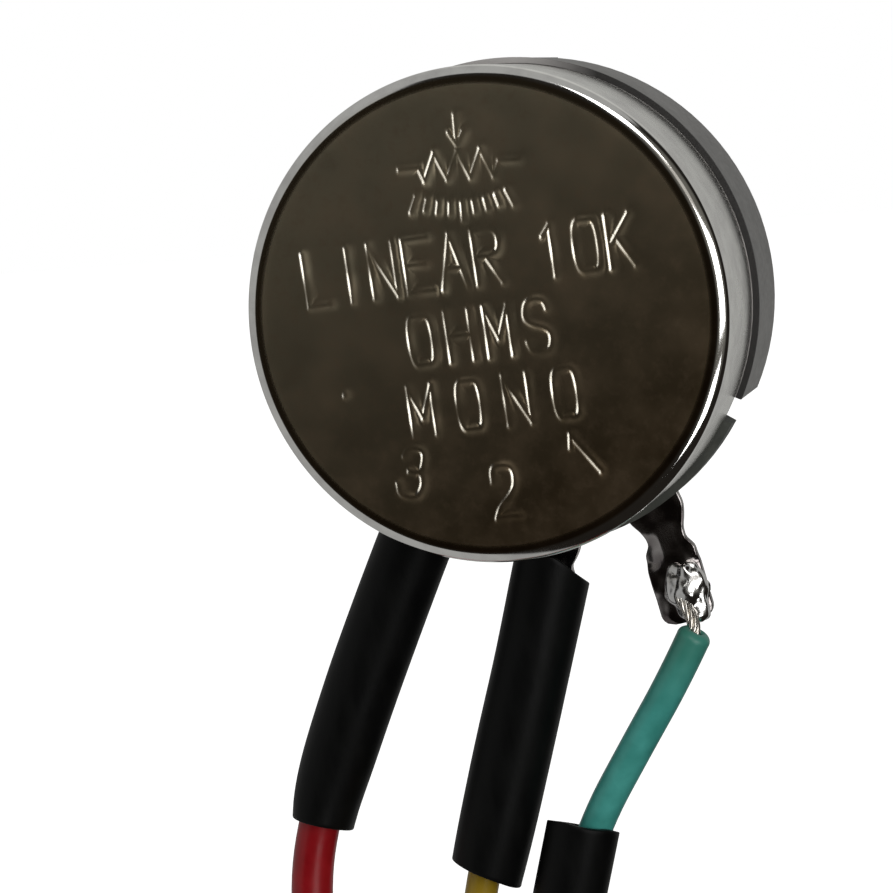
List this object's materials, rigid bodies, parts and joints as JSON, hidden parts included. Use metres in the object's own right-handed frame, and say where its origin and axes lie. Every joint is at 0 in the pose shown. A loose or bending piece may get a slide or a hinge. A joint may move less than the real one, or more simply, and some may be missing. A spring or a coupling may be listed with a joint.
{
  "type": "rotary potentiometer",
  "caption": "Panel-mount rotary potentiometer with a round metal body, slotted shaft, threaded bushing, solder lugs, sleeved leads and small coils of spare lead.",
  "frame": {"origin": "where the shaft's axis meets the panel face of the body", "axes": "+Y along the shaft, out through the panel; -Y towards the rear cover; -Z from the axis to the middle terminal, so the leads hang down"},
  "size_m": [0.0301, 0.0326, 0.087],
  "materials": {
    "cover_steel": "bright drawn and stamped",
    "housing_metal": "satin, cast",
    "bushing_nickel": "nickel plated, turned",
    "nut_nickel": "nickel plated",
    "shaft_metal": "turned",
    "spring_steel": "plain",
    "phenolic": "laminate",
    "rotor_phenolic": "moulded",
    "carbon_film": "printed",
    "silver_film": "printed",
    "rivet_brass": "tinned",
    "terminal_tin": "tinned, tarnished",
    "bronze_spring": "bright",
    "fibre": "fibre",
    "solder": "bright, lumpy",
    "tinned_strands": "stranded",
    "sleeve_black": "heat-shrink tube, not shrunk",
    "insulation_red": "smooth",
    "insulation_yellow": "smooth",
    "insulation_green": "smooth",
    "tie_plastic": "flat band"
  },
  "bodies": {
    "pot_body": {"front_housing": "housing_metal", "threaded_bushing": "bushing_nickel", "thrust_washer": "fibre", "rear_cover": "cover_steel", "stop_plate": "spring_steel", "terminal_board": "phenolic", "carbon_track": "carbon_film", "end_pads": "silver_film", "collector_ring": "silver_film", "terminal_rivets": "rivet_brass", "lead_tie": "tie_plastic", "terminal_1": "terminal_tin", "terminal_2": "terminal_tin", "terminal_3": "terminal_tin", "sleeve_terminal_3": "sleeve_black", "sleeve_terminal_2": "sleeve_black", "sleeve_loose": "sleeve_black", "solder_joint_1": "solder", "conductor_1": "tinned_strands", "solder_joint_2": "solder", "conductor_2": "tinned_strands", "solder_joint_3": "solder", "conductor_3": "tinned_strands", "lead_red": "insulation_red", "coil_red": "insulation_red", "tail_red": "insulation_red", "tip_red": "tinned_strands", "lead_yellow": "insulation_yellow", "coil_yellow": "insulation_yellow", "tail_yellow": "insulation_yellow", "tip_yellow": "tinned_strands", "lead_green": "insulation_green", "coil_green": "insulation_green", "tail_green": "insulation_green", "tip_green": "tinned_strands"},
    "shaft": {"shaft": "shaft_metal", "retaining_ring": "spring_steel", "rotor": "rotor_phenolic", "wiper_spring": "bronze_spring"},
    "nut": {"panel_nut": "nut_nickel", "panel_washer": "nut_nickel"}
  },
  "joints": [
    {"name": "shaft_spin", "type": "hinge", "parent": "pot_body", "child": "shaft", "pos_m": [0, 0, 0], "axis": [0, 1, 0], "range_deg": [-150, 150]},
    {"name": "nut_slide", "type": "slide", "parent": "pot_body", "child": "nut", "axis": [0, 1, 0], "range_m": [0, 0.0175]}
  ]
}
